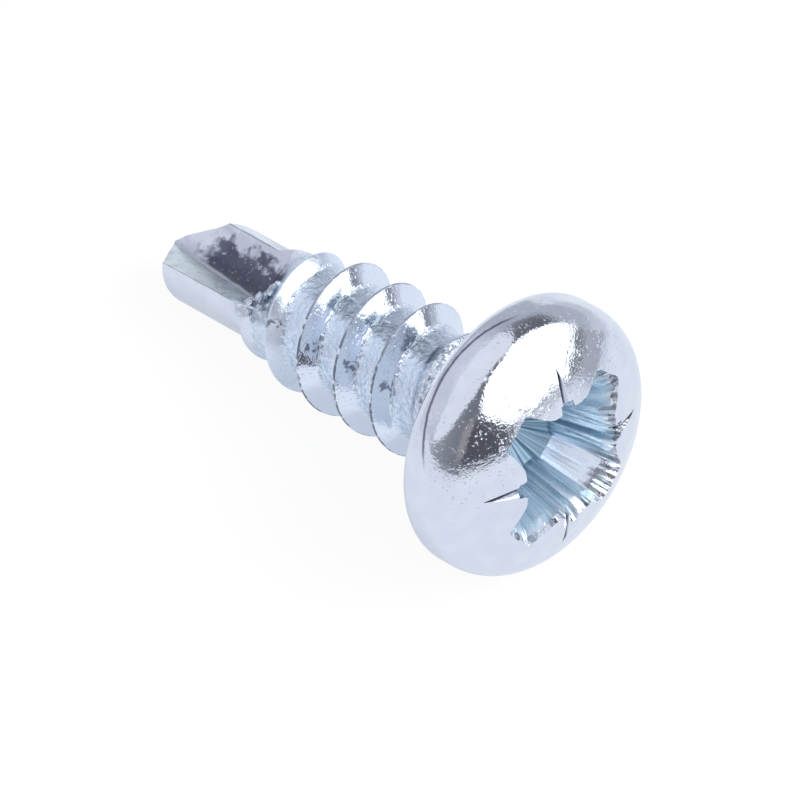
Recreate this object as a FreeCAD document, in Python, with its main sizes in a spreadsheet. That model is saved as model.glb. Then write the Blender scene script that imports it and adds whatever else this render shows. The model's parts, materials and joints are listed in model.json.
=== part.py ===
import FreeCAD, Part
import Sketcher
import math
import os

from FreeCAD import Placement, Rotation, Vector

# Self drilling screw, forged and rolled in one piece from wire.
# The screw's own axis is Z, with the bearing face under the head at zero,
# the head below it and the drill point above. The finished screw is then laid
# down as it rests: on the edge of its head and on the edges of its drill point.

doc = FreeCAD.newDocument("self_drilling_screw")

# Driving dimensions in millimetres and degrees
DRIVING_SIZES = (
    ("head_diameter", 7.9),
    ("head_height", 2.8),
    ("head_rim_height", 0.87),
    ("head_shoulder_radius", 1.1),
    ("head_under_radius", 0.43),
    ("neck_radius", 0.35),
    ("core_diameter", 3.06),
    ("core_length", 8.45),
    ("core_taper_length", 0.65),
    ("core_end_diameter", 2.5),
    ("thread_diameter", 4.2),
    ("thread_pitch", 1.4),
    ("thread_crest_width", 0.08),
    ("thread_flank_angle", 30),
    ("thread_start", 1.35),
    ("thread_run_out", 1.3),
    ("thread_end", 8.7),
    ("thread_run_in", 2.25),
    ("thread_turn", -159.5),
    ("thread_seat", 0.15),
    ("thread_vanish_depth", 0.08),
    ("drill_diameter", 3.6),
    ("drill_thickness", 2.6),
    ("drill_start", 8.0),
    ("drill_shoulder", 8.45),
    ("drill_shoulder_scale", 0.8),
    ("drill_turn", 59.5),
    ("land_overrun", 8),
    ("screw_length", 12.55),
    ("point_angle", 114),
    ("near_relief_drop", 1.07),
    ("far_relief_angle", 45),
    ("web_thickness", 0.56),
    ("flute_run_out_start", 7.55),
    ("flute_floor_start", 8.6),
    ("flute_corner_at_start", 1.05),
    ("flute_corner_at_tip", 0.35),
    ("flute_corner_radius", 0.22),
    ("flute_heel_angle", 95.5),
    ("recess_turn", -1.5),
    ("recess_span", 4.75),
    ("recess_depth", 2.25),
    ("recess_wing_width", 1.12),
    ("recess_wing_floor_width", 0.68),
    ("recess_wing_slope", 26.5),
    ("recess_bore_diameter", 3.35),
    ("recess_bore_slope", 12),
    ("recess_floor_slope", 30),
    ("recess_rib_span", 3.75),
    ("recess_rib_width", 0.42),
    ("recess_rib_slope", 14),
    ("tick_outer_radius", 2.87),
    ("tick_inner_radius", 1.35),
    ("tick_depth", 0.3),
    ("tick_half_angle", 32),
)

# How finely the thread's helix is pinned, and how often the rest attitude is refined
SECTIONS_PER_TURN = 18
REST_ROUNDS = 20

# Sizes that follow from the driving ones
WORKED_SIZES = (
    ("head_half", "sizes.head_diameter / 2"),
    ("shoulder_centre", "head_half - sizes.head_shoulder_radius"),
    ("crown_rise", "sizes.head_height - sizes.head_rim_height"),
    ("crown_radius", "(shoulder_centre^2 + crown_rise^2 - sizes.head_shoulder_radius^2)"
                     " / (2 * (crown_rise - sizes.head_shoulder_radius))"),
    ("crown_centre", "crown_radius - sizes.head_height"),
    ("crown_share", "crown_radius / (crown_radius - sizes.head_shoulder_radius)"),
    ("crown_edge", "shoulder_centre * crown_share"),
    ("crown_edge_height", "crown_centre - (crown_centre + sizes.head_rim_height) * crown_share"),
    ("core_half", "sizes.core_diameter / 2"),
    ("drill_half", "sizes.drill_diameter / 2"),
    ("drill_half_thickness", "sizes.drill_thickness / 2"),
    ("land_radius", "(drill_half^2 + drill_half_thickness^2) / sizes.drill_thickness"),
    ("land_centre", "land_radius - drill_half_thickness"),
    ("land_lip_angle", "-asin(land_centre / land_radius) / 1deg"),
    ("lip_turn", "asin(sizes.web_thickness / sizes.drill_diameter) / 1deg"),
    ("web_half", "sizes.web_thickness / 2"),
    ("lip_reach", "sqrt(drill_half^2 - web_half^2)"),
    ("point_slope", "1 / tan(sizes.point_angle / 2)"),
    ("relief_width", "drill_half_thickness + web_half"),
    ("relief_radius", "(relief_width^2 + sizes.near_relief_drop^2)"
                      " / (2 * sizes.near_relief_drop)"),
    ("relief_centre", "sizes.screw_length - relief_radius"),
    ("drill_stock_end", "sizes.screw_length + sizes.web_thickness"),
    ("clear_reach", "2 * sizes.drill_diameter"),
    ("heel_x", "drill_half_thickness * cos(sizes.flute_heel_angle)"),
    ("heel_y", "drill_half_thickness * sin(sizes.flute_heel_angle)"),
    ("run_out_reach", "core_half + sizes.flute_corner_at_tip"),
    ("head_crown", "-sizes.head_height"),
    ("recess_floor", "sizes.recess_depth - sizes.head_height"),
    ("recess_half", "sizes.recess_span / 2"),
    ("recess_drop", "crown_radius - sqrt(crown_radius^2 - recess_half^2)"),
    ("wing_reach_at_crown", "recess_half + recess_drop * tan(sizes.recess_wing_slope)"),
    ("wing_reach_at_floor", "wing_reach_at_crown - sizes.recess_depth * tan(sizes.recess_wing_slope)"),
    ("bore_half", "sizes.recess_bore_diameter / 2"),
    ("bore_floor_half", "bore_half - sizes.recess_depth * tan(sizes.recess_bore_slope)"),
    ("bore_pit", "recess_floor + bore_floor_half * tan(sizes.recess_floor_slope)"),
    ("rib_reach_at_crown", "sizes.recess_rib_span / 2"),
    ("rib_reach_at_floor", "rib_reach_at_crown - sizes.recess_depth * tan(sizes.recess_rib_slope)"),
    ("lip_angle", "sizes.drill_turn + lip_turn"),
    ("lip_height", "sizes.screw_length - lip_reach * point_slope"),
    ("heel_angle", "sizes.drill_turn + sizes.flute_heel_angle"),
    ("heel_height", "relief_centre + heel_x * point_slope"
                    " + sqrt(relief_radius^2 - (heel_y + web_half)^2)"),
    ("tick_outer_height", "crown_centre - sqrt(crown_radius^2 - sizes.tick_outer_radius^2)"),
    ("tick_inner_height", "crown_centre - sqrt(crown_radius^2 - sizes.tick_inner_radius^2)"
                          " + sizes.tick_depth"),
)


def make_sheet(name, rows, formula):
    sheet = doc.addObject("Spreadsheet::Sheet", name)
    for row, (alias, content) in enumerate(rows, start=1):
        sheet.set(f"A{row}", alias)
        sheet.set(f"B{row}", ("=" if formula else "") + str(content))
        sheet.setAlias(f"B{row}", alias)
    doc.recompute()
    return sheet


sizes = make_sheet("sizes", DRIVING_SIZES, formula=False)
worked = make_sheet("worked", WORKED_SIZES, formula=True)


def number(expression):
    return float(worked.evalExpression(expression))


def new_body(label, turn):
    body = doc.addObject("PartDesign::Body", label)
    body.Label = label
    body.Placement = Placement(Vector(), Rotation(Vector(0, 0, 1), 0))
    body.setExpression("Placement.Rotation.Angle", turn)
    return body


def new_sketch(body, name, role, offset="0", turn="0", turn_axis=Vector(0, 0, 1)):
    plane = next(item for item in body.Origin.OriginFeatures if item.Role == role)
    sketch = body.newObject("Sketcher::SketchObject", name)
    sketch.AttachmentSupport = [(plane, "")]
    sketch.MapMode = "FlatFace"
    sketch.AttachmentOffset = Placement(Vector(), Rotation(turn_axis, number(turn)))
    sketch.setExpression("AttachmentOffset.Base.z", offset)
    sketch.setExpression("AttachmentOffset.Rotation.Angle", turn)
    return sketch


def pin_point(sketch, geometry, end, x, y):
    for kind, axis, expression in (("DistanceX", -2, x), ("DistanceY", -1, y)):
        if expression == "0":
            sketch.addConstraint(Sketcher.Constraint("PointOnObject", geometry, end, axis))
            continue
        pin = Sketcher.Constraint(kind, -1, 1, geometry, end, number(expression))
        index = sketch.addConstraint(pin)
        sketch.setExpression(f"Constraints[{index}]", expression)


# A closed outline through corners given as expressions. arcs maps a corner's number
# to the centre of the arc that leads from it to the next corner, and its radius.
def draw_outline(sketch, corners, arcs=None):
    arcs = arcs or {}
    points = [Vector(number(x), number(y), 0) for x, y in corners]
    ends = []
    for index, start in enumerate(points):
        finish = points[(index + 1) % len(points)]
        if index not in arcs:
            geometry = sketch.addGeometry(Part.LineSegment(start, finish), False)
            ends.append((geometry, 1, 2))
            continue
        centre_x, centre_y, radius = arcs[index]
        centre = Vector(number(centre_x), number(centre_y), 0)
        circle = Part.Circle(centre, Vector(0, 0, 1), number(radius))
        forwards = (start - centre).cross(finish - centre).z > 0
        first, last = (start, finish) if forwards else (finish, start)
        arc = Part.ArcOfCircle(circle, circle.parameter(first), circle.parameter(last))
        geometry = sketch.addGeometry(arc, False)
        ends.append((geometry, 1, 2) if forwards else (geometry, 2, 1))
        rounding = sketch.addConstraint(Sketcher.Constraint("Radius", geometry, number(radius)))
        sketch.setExpression(f"Constraints[{rounding}]", radius)
    for index, (geometry, start_end, finish_end) in enumerate(ends):
        following, following_start, _ = ends[(index + 1) % len(ends)]
        sketch.addConstraint(
            Sketcher.Constraint("Coincident", geometry, finish_end, following, following_start))
        x, y = corners[index]
        pin_point(sketch, geometry, start_end, x, y)
    return sketch


def loft(body, kind, name, sections):
    feature = body.newObject(f"PartDesign::{kind}", name)
    feature.Profile = sections[0]
    feature.Sections = sections[1:]
    feature.Ruled = True
    return feature


def repeat_round_axis(body, name, feature, copies):
    pattern = body.newObject("PartDesign::PolarPattern", name)
    pattern.Originals = [feature]
    z_axis = next(item for item in body.Origin.OriginFeatures if item.Role == "Z_Axis")
    pattern.Axis = (z_axis, [""])
    pattern.Angle = 360
    pattern.Occurrences = copies
    body.Tip = pattern
    return pattern


# Blank: domed pan head, neck and the core that carries the thread
def turn_blank(body):
    sketch = new_sketch(body, "blank_profile", "XZ_Plane")
    draw_outline(
        sketch,
        corners=(
            ("0", "worked.head_crown"),
            ("worked.crown_edge", "worked.crown_edge_height"),
            ("worked.head_half", "-sizes.head_rim_height"),
            ("worked.head_half", "-sizes.head_under_radius"),
            ("worked.head_half - sizes.head_under_radius", "0"),
            ("worked.core_half + sizes.neck_radius", "0"),
            ("worked.core_half", "sizes.neck_radius"),
            ("worked.core_half", "sizes.core_length"),
            ("sizes.core_end_diameter / 2", "sizes.core_length + sizes.core_taper_length"),
            ("0", "sizes.core_length + sizes.core_taper_length"),
        ),
        arcs={
            0: ("0", "worked.crown_centre", "worked.crown_radius"),
            1: ("worked.shoulder_centre", "-sizes.head_rim_height", "sizes.head_shoulder_radius"),
            3: ("worked.head_half - sizes.head_under_radius", "-sizes.head_under_radius",
                "sizes.head_under_radius"),
            5: ("worked.core_half + sizes.neck_radius", "sizes.neck_radius", "sizes.neck_radius"),
        },
    )
    blank = body.newObject("PartDesign::Revolution", "turned_blank")
    blank.Profile = sketch
    blank.ReferenceAxis = (sketch, ["V_Axis"])
    blank.Angle = 360


# A plus sign of two crossed bars, seen along the screw's axis
def cross_section(body, name, offset, reach, width, turn):
    sketch = new_sketch(body, name, "XY_Plane", offset, turn)
    half = f"({width}) / 2"
    quarter = ((reach, f"-{half}"), (reach, half), (half, half))
    corners = []
    for side in range(4):
        for x, y in quarter:
            for _ in range(side):
                x, y = f"-({y})", x
            corners.append((x, y))
    return draw_outline(sketch, corners)


# Type Z cross recess: tapered bore, four wings and four small ribs between them
def sink_recess(body):
    bore_sketch = new_sketch(body, "recess_bore_profile", "XZ_Plane")
    draw_outline(
        bore_sketch,
        corners=(
            ("0", "worked.head_crown"),
            ("worked.bore_half", "worked.head_crown"),
            ("worked.bore_floor_half", "worked.recess_floor"),
            ("0", "worked.bore_pit"),
        ),
    )
    bore = body.newObject("PartDesign::Groove", "recess_bore")
    bore.Profile = bore_sketch
    bore.ReferenceAxis = (bore_sketch, ["V_Axis"])
    bore.Angle = 360
    loft(body, "SubtractiveLoft", "recess_wings", (
        cross_section(body, "wings_at_crown", "worked.head_crown", "worked.wing_reach_at_crown",
                      "sizes.recess_wing_width", "0"),
        cross_section(body, "wings_at_floor", "worked.recess_floor", "worked.wing_reach_at_floor",
                      "sizes.recess_wing_floor_width", "0"),
    ))
    loft(body, "SubtractiveLoft", "recess_ribs", (
        cross_section(body, "ribs_at_crown", "worked.head_crown", "worked.rib_reach_at_crown",
                      "sizes.recess_rib_width", "45"),
        cross_section(body, "ribs_at_floor", "worked.recess_floor", "worked.rib_reach_at_floor",
                      "sizes.recess_rib_width", "45"),
    ))


# A V section of the tick groove, standing across the groove's run
def tick_section(body, name, radius, bottom):
    sketch = new_sketch(body, name, "YZ_Plane", radius)
    top = "worked.head_crown - sizes.tick_depth"
    half = f"({bottom} - ({top})) * tan(sizes.tick_half_angle)"
    return draw_outline(sketch, (("0", bottom), (half, top), (f"-{half}", top)))


# Four tick grooves on the crown, which fade out towards the rim
def shape_ticks(body):
    tick = loft(body, "AdditiveLoft", "tick", (
        tick_section(body, "tick_inner", "sizes.tick_inner_radius", "worked.tick_inner_height"),
        tick_section(body, "tick_outer", "sizes.tick_outer_radius", "worked.tick_outer_height"),
    ))
    repeat_round_axis(body, "ticks", tick, 4)


# Section of the pinched drill blank: a land arc each side, joined by chords
# that lie where the flutes are cut
def drill_section(body, name, offset, scale):
    sketch = new_sketch(body, name, "XY_Plane", offset, "worked.lip_turn")
    lip_end = "(worked.land_lip_angle + sizes.land_overrun)"
    heel_end = "(-90 - sizes.land_overrun)"
    radius = f"{scale} * worked.land_radius"
    rise = f"{scale} * worked.land_centre"
    lip = (f"{radius} * cos({lip_end})", f"{rise} + {radius} * sin({lip_end})")
    heel = (f"{radius} * cos({heel_end})", f"{rise} + {radius} * sin({heel_end})")
    return draw_outline(
        sketch,
        corners=(
            heel,
            lip,
            (f"-({heel[0]})", f"-({heel[1]})"),
            (f"-({lip[0]})", f"-({lip[1]})"),
        ),
        arcs={0: ("0", rise, radius), 2: ("0", f"-{rise}", radius)},
    )


# Cuts the point behind one cutting lip. side is 1 or -1, and the outline, given for the
# lip of side 1, is swept along the lip's slope.
def cut_relief(body, name, side, corners, arcs=None):
    sketch = new_sketch(body, f"{name}_profile", "YZ_Plane")
    arcs = arcs or {}
    draw_outline(
        sketch,
        corners=[(f"{side} * ({across})", height) for across, height in corners],
        arcs={index: (f"{side} * ({across})", height, radius)
              for index, (across, height, radius) in arcs.items()},
    )
    relief = body.newObject("PartDesign::Pocket", name)
    relief.Profile = sketch
    relief.UseCustomVector = True
    relief.Direction = Vector(side, 0, -number("worked.point_slope"))
    relief.setExpression("Direction.z", "-worked.point_slope")
    relief.SideType = "Symmetric"
    relief.setExpression("Length", "2 * worked.clear_reach")


# Drill blank. The relief behind the near lip is rounded, and the one behind the far lip is
# a steeper flat, as uneven dies leave it.
def forge_drill(body):
    loft(body, "AdditiveLoft", "drill_blank", (
        drill_section(body, "drill_in_core", "sizes.drill_start", "sizes.drill_shoulder_scale"),
        drill_section(body, "drill_at_shoulder", "sizes.drill_shoulder", "1"),
        drill_section(body, "drill_at_tip", "worked.drill_stock_end", "1"),
    ))
    top = "sizes.screw_length + worked.clear_reach"
    behind = "worked.web_half - worked.relief_radius"
    ahead = "worked.web_half + worked.relief_radius"
    centre = ("worked.web_half", "worked.relief_centre", "worked.relief_radius")
    cut_relief(
        body, "near_relief", -1,
        corners=(
            (behind, "worked.relief_centre"),
            ("worked.web_half", "sizes.screw_length"),
            (ahead, "worked.relief_centre"),
            (f"{ahead} + worked.clear_reach", "worked.relief_centre"),
            (f"{ahead} + worked.clear_reach", top),
            (f"{behind} - worked.clear_reach", top),
            (f"{behind} - worked.clear_reach", "worked.relief_centre"),
        ),
        arcs={0: centre, 1: centre},
    )
    fall = "worked.clear_reach * tan(sizes.far_relief_angle)"
    cut_relief(
        body, "far_relief", 1,
        corners=(
            ("worked.web_half", "sizes.screw_length"),
            ("worked.web_half + worked.clear_reach", "sizes.screw_length"),
            ("worked.web_half + worked.clear_reach", top),
            ("worked.web_half - worked.clear_reach", top),
            ("worked.web_half - worked.clear_reach", f"sizes.screw_length - {fall}"),
        ),
    )


# Section of a flute: flat rake face, rounded corner and a floor that rises to the heel
def flute_section(body, name, offset, corner_x, floor_x, floor_y):
    run = f"({floor_x} - ({corner_x}))"
    rise = f"({floor_y} - worked.web_half)"
    length = f"sqrt({run}^2 + {rise}^2)"
    trim = f"sizes.flute_corner_radius * ({length} + {run}) / {rise}"
    rake_end = (f"{corner_x} + {trim}", "worked.web_half")
    sketch = new_sketch(body, name, "XY_Plane", offset)
    return draw_outline(
        sketch,
        corners=(
            ("worked.clear_reach", "worked.web_half"),
            rake_end,
            (f"{corner_x} + {trim} * {run} / {length}",
             f"worked.web_half + {trim} * {rise} / {length}"),
            (floor_x, floor_y),
            ("worked.clear_reach", floor_y),
        ),
        arcs={1: (rake_end[0], "worked.web_half + sizes.flute_corner_radius",
                  "sizes.flute_corner_radius")},
    )


# Two flutes, which shallow towards the shank and run out through the core's surface
def shape_flutes(body):
    past_heel = "2 * worked.heel_y - worked.web_half"
    past_heel_at_start = "2 * worked.heel_x - sizes.flute_corner_at_start"
    past_heel_at_tip = "2 * worked.heel_x - sizes.flute_corner_at_tip"
    flute = loft(body, "AdditiveLoft", "flute", (
        flute_section(body, "flute_run_out", "sizes.flute_run_out_start",
                      "worked.run_out_reach", past_heel_at_start, "sizes.core_diameter"),
        flute_section(body, "flute_at_start", "sizes.flute_floor_start",
                      "sizes.flute_corner_at_start", past_heel_at_start, past_heel),
        flute_section(body, "flute_at_tip", "worked.drill_stock_end",
                      "sizes.flute_corner_at_tip", past_heel_at_tip, past_heel),
    ))
    repeat_round_axis(body, "flutes", flute, 2)


# Share of the full thread height at a height along the screw
def thread_share(height):
    run_out = (height - number("sizes.thread_start")) / number("sizes.thread_run_out")
    run_in = (number("sizes.thread_end") - height) / number("sizes.thread_run_in")
    return max(0.0, min(1.0, run_out, run_in))


# Corners of the ridge's section: foot, crest, crest and foot, inside the core at the feet
def thread_section(height):
    foot = number("worked.core_half - sizes.thread_seat")
    vanished = number("worked.core_half - sizes.thread_vanish_depth")
    crest = number("sizes.thread_diameter / 2")
    crest_half = number("sizes.thread_crest_width / 2")
    radius = vanished + (crest - vanished) * thread_share(height)
    foot_half = crest_half + (radius - foot) * number("tan(sizes.thread_flank_angle)")
    angle = number("sizes.thread_turn") + 360 * height / number("sizes.thread_pitch")
    turn = Rotation(Vector(0, 0, 1), angle)
    outline = (
        Vector(foot, 0, height - foot_half),
        Vector(radius, 0, height - crest_half),
        Vector(radius, 0, height + crest_half),
        Vector(foot, 0, height + foot_half),
    )
    return [turn.multVec(corner) for corner in outline]


def helical_edge(points):
    curve = Part.BSplineCurve()
    curve.interpolate(Points=points, Parameters=[float(index) for index in range(len(points))])
    return curve


# Right-hand thread ridge, which rises out of the core and sinks back into it
def roll_thread():
    start = number("sizes.thread_start")
    length = number("sizes.thread_end - sizes.thread_start")
    turns = length / number("sizes.thread_pitch")
    steps = math.ceil(turns * SECTIONS_PER_TURN)
    sections = [thread_section(start + length * step / steps) for step in range(steps + 1)]
    curves = [helical_edge(list(corner_run)) for corner_run in zip(*sections)]
    joints = list(range(0, steps, SECTIONS_PER_TURN)) + [steps]
    faces = []
    for first, last in zip(joints, joints[1:]):
        edges = [curve.toShape(first, last) for curve in curves]
        for edge, next_edge in zip(edges, edges[1:] + edges[:1]):
            faces.append(Part.makeRuledSurface(edge, next_edge))
    for section in (sections[0], sections[-1]):
        faces.append(Part.Face(Part.makePolygon(section + section[:1])))
    shell = Part.makeShell(faces)
    shell.sewShape()
    ridge = doc.addObject("Part::Feature", "thread_ridge")
    ridge.Shape = Part.makeSolid(shell)
    return ridge


# The screw's attitude at rest. It touches the floor at the rounded edge of the head, at the
# corner of a cutting lip and at the heel beside it. Gives the direction about the screw's
# axis that points down, and the dip of the axis from head to point.
def find_rest():
    lip = (number("worked.drill_half"), number("worked.lip_angle"), number("worked.lip_height"))
    heel = (number("worked.drill_half_thickness"), number("worked.heel_angle"),
            number("worked.heel_height"))
    rim_radius = number("sizes.head_under_radius")
    rim_centre = number("worked.head_half - sizes.head_under_radius")
    across = math.radians(lip[1])
    across_heel = math.radians(heel[1])
    span_x = lip[0] * math.cos(across) - heel[0] * math.cos(across_heel)
    span_y = lip[0] * math.sin(across) - heel[0] * math.sin(across_heel)
    dip = 0.0
    for _ in range(REST_ROUNDS):
        step = (heel[2] - lip[2]) * math.tan(dip)
        down = math.atan2(span_y, span_x) + math.acos(step / math.hypot(span_x, span_y))
        length = lip[2] + rim_radius
        depth = lip[0] * math.cos(down - across) - rim_centre
        dip = math.asin(rim_radius / math.hypot(length, depth)) - math.atan2(depth, length)
    return math.degrees(down), math.degrees(dip)


def combine(kind, name, base, tool):
    feature = doc.addObject(f"Part::{kind}", name)
    feature.Base = base
    feature.Tool = tool
    doc.recompute()
    return feature


# Fuses the ridge and the drill point to the shank, then cuts the flutes and the ticks
def make_screw():
    shank = new_body("head_and_shank", "sizes.recess_turn")
    turn_blank(shank)
    sink_recess(shank)
    drill = new_body("drill_point", "sizes.drill_turn")
    forge_drill(drill)
    flutes = new_body("flute_shape", "sizes.drill_turn")
    shape_flutes(flutes)
    ticks = new_body("tick_shape", "sizes.recess_turn + 45")
    shape_ticks(ticks)
    threaded = combine("Fuse", "threaded_shank", shank, roll_thread())
    pointed = combine("Fuse", "pointed_stock", threaded, drill)
    fluted = combine("Cut", "fluted_stock", pointed, flutes)
    screw = combine("Cut", "screw", fluted, ticks)
    screw.Label = "screw"
    return screw


# Rests the screw on the floor, centred, with its head at -X and its point at +X
def lay_down(screw):
    down, dip = find_rest()
    roll = Rotation(Vector(0, 0, 1), -down)
    lean = Rotation(Vector(0, 1, 0), 90 + dip)
    screw.Placement = Placement(Vector(), lean * roll)
    doc.recompute()
    box = screw.Shape.optimalBoundingBox(False, False)
    screw.Placement.Base = Vector(-box.Center.x, -box.Center.y, -box.ZMin)


def check_model(screw):
    for item in doc.Objects:
        if "Invalid" in item.State or "Error" in item.State:
            raise RuntimeError(f"{item.Label} did not build: {item.State}")
    shape = screw.Shape
    if shape.isNull() or not shape.isValid() or len(shape.Solids) != 1:
        raise RuntimeError(f"{screw.Label} is not one valid solid")


screw = make_screw()
lay_down(screw)
check_model(screw)
os.makedirs("parts", exist_ok=True)
screw.Shape.exportStep(f"parts/{screw.Label}.step")
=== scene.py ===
import json
import math

import bmesh
import bpy
from mathutils import Matrix, Vector, noise


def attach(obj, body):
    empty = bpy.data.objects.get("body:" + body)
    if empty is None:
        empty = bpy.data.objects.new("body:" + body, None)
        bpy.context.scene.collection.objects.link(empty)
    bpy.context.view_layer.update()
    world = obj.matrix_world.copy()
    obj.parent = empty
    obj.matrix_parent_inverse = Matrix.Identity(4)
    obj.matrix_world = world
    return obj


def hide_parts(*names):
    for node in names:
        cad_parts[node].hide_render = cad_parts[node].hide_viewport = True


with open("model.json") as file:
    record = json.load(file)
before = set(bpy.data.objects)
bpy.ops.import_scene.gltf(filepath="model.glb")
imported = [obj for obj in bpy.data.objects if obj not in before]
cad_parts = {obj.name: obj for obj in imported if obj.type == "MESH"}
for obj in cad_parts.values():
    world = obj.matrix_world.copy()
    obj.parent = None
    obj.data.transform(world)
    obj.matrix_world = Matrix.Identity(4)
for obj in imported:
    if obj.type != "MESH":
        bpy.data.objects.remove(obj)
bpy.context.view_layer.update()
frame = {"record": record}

# Sizes of the screw in millimetres and degrees, along its own axis from the bearing face
MM = 0.001
HEAD_RADIUS = 3.95
HEAD_HEIGHT = 2.8
RIM_HEIGHT = 0.87
SHOULDER_RADIUS = 1.1
UNDER_RADIUS = 0.43
BEARING_RING = 0.6 * HEAD_RADIUS
NECK_RADIUS = 0.35
CORE_RADIUS = 1.53
CORE_LENGTH = 8.45
CORE_END = 9.1
CORE_END_RADIUS = 1.25
THREAD_RADIUS = 2.1
PITCH = 1.4
CREST_HALF = 0.045
FLANK_ANGLE = 30
ROOT_FILLET = 0.16
THREAD_START = 1.35
THREAD_RUN_OUT = 1.3
THREAD_END = 8.7
THREAD_RUN_IN = 2.25
THREAD_TURN = -159.5
DRILL_RADIUS = 1.8
DRILL_HALF_THICKNESS = 1.3
DRILL_START = 8.0
DRILL_SHOULDER = 8.45
DRILL_SHOULDER_SCALE = 0.8
DRILL_TURN = 59.5
SCREW_LENGTH = 12.55
POINT_ANGLE = 114
NEAR_RELIEF_DROP = 1.07
FAR_RELIEF_ANGLE = 45
WEB_HALF = 0.28
FLUTE_RUN_OUT_START = 7.55
FLUTE_FLOOR_START = 8.6
FLUTE_CORNER_AT_START = 1.05
FLUTE_CORNER_AT_TIP = 0.35
FLUTE_CORNER_RADIUS = 0.22
FLUTE_HEEL_ANGLE = 95.5
FLUTE_HOLLOW = 0.22
TIP_HOLLOW = -0.12
TIP_FILL_START = 10.7
TIP_FILL_LENGTH = 1.5
RECESS_TURN = -1.5
RECESS_HALF_SPAN = 2.375
RECESS_DEPTH = 2.25
WING_HALF_WIDTH = 0.56
WING_FLOOR_HALF_WIDTH = 0.34
WING_SLOPE = 26.5
WING_SPLAY = 0.18
WING_END_SPREAD = 22
BORE_RADIUS = 1.675
BORE_SLOPE = 12
FLOOR_SLOPE = 30
FLOOR_DISHING = 0.7
RIB_REACH = 1.875
RIB_HALF_WIDTH = 0.21
RIB_SLOPE = 14
CORNER_BLEND = 14
RIM_DEPTH = 0.35
LIP_DEPTH = 0.24
TICK_OUTER_RADIUS = 2.87
TICK_INNER_RADIUS = 1.35
TICK_DEPTH = 0.3
TICK_HALF_ANGLE = 32
TICK_TURN = RECESS_TURN + 45

# Turn of the screw about its own axis as it lies
REST_TURN = 121.3415

# Sizes that follow from those
CROWN_RISE = HEAD_HEIGHT - RIM_HEIGHT
SHOULDER_CENTRE = HEAD_RADIUS - SHOULDER_RADIUS
CROWN_RADIUS = (
    (SHOULDER_CENTRE ** 2 + CROWN_RISE ** 2 - SHOULDER_RADIUS ** 2) / (2 * (CROWN_RISE - SHOULDER_RADIUS))
)
CROWN_CENTRE = CROWN_RADIUS - HEAD_HEIGHT
CROWN_EDGE_ANGLE = math.degrees(math.asin(SHOULDER_CENTRE / (CROWN_RADIUS - SHOULDER_RADIUS)))
SHANK_LOWEST = -1.0
SHANK_HIGHEST = CORE_END + 0.4
DRILL_END = SCREW_LENGTH + 2 * WEB_HALF
LAND_RADIUS = (DRILL_RADIUS ** 2 + DRILL_HALF_THICKNESS ** 2) / (2 * DRILL_HALF_THICKNESS)
LAND_CENTRE = LAND_RADIUS - DRILL_HALF_THICKNESS
LIP_TURN = math.degrees(math.asin(WEB_HALF / DRILL_RADIUS))
POINT_SLOPE = 1 / math.tan(math.radians(POINT_ANGLE / 2))
RELIEF_WIDTH = DRILL_HALF_THICKNESS + WEB_HALF
RELIEF_RADIUS = (RELIEF_WIDTH ** 2 + NEAR_RELIEF_DROP ** 2) / (2 * NEAR_RELIEF_DROP)
HEEL_X = DRILL_HALF_THICKNESS * math.cos(math.radians(FLUTE_HEEL_ANGLE))
HEEL_Y = DRILL_HALF_THICKNESS * math.sin(math.radians(FLUTE_HEEL_ANGLE))
CLEAR_REACH = 4 * DRILL_RADIUS
RECESS_FLOOR = RECESS_DEPTH - HEAD_HEIGHT
RECESS_DROP = CROWN_RADIUS - math.sqrt(CROWN_RADIUS ** 2 - RECESS_HALF_SPAN ** 2)
WING_CROWN_REACH = RECESS_HALF_SPAN + RECESS_DROP * math.tan(math.radians(WING_SLOPE))
FLOOR_PIT = BORE_RADIUS * math.tan(math.radians(FLOOR_SLOPE)) * FLOOR_DISHING

# Spare turns wound past both ends of the core and pressed flat there, and distances that count as none
SPARE_TURNS = 2
MERGE_DISTANCE = 1e-4
TINY = 1e-6

# Number of steps round the screw, its thread and its recess, and along each arc
HEAD_STEPS = 256
THREAD_STEPS = 120
RECESS_STEPS = 720
CROWN_STEPS = 36
SHOULDER_STEPS = 24
UNDER_STEPS = 10
FILLET_STEPS = 5
LAND_STEPS = 32
RELIEF_STEPS = 48
CORNER_STEPS = 8
FLOOR_STEPS = 14

# Rounding of the thread's crest, in shares of its half width: (offset, drop), and points on its flank
CREST_ROUNDING = ((0, 0), (0.6, 0.15), (1, 0.8))
FLANK_SHARES = (0.25, 0.5, 0.75)

# Sections of a flute: heights, steps between them, and how rough and how finely grained they are
FLUTE_STOPS = (FLUTE_FLOOR_START, 9.8, 10.7, 11.2, 11.7, 12.2, DRILL_END)
RUN_OUT_STEPS = 8
RUN_OUT_ROUGHNESS = 0.04
RUN_OUT_GRAIN = 0.4
FLUTE_STEPS = 5
FLUTE_ROUGHNESS = 0.03
FLUTE_GRAIN = 0.45
RAKE_SHARES = (0, 0.7, 0.8, 0.84, 0.88, 0.92, 0.96)

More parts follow.
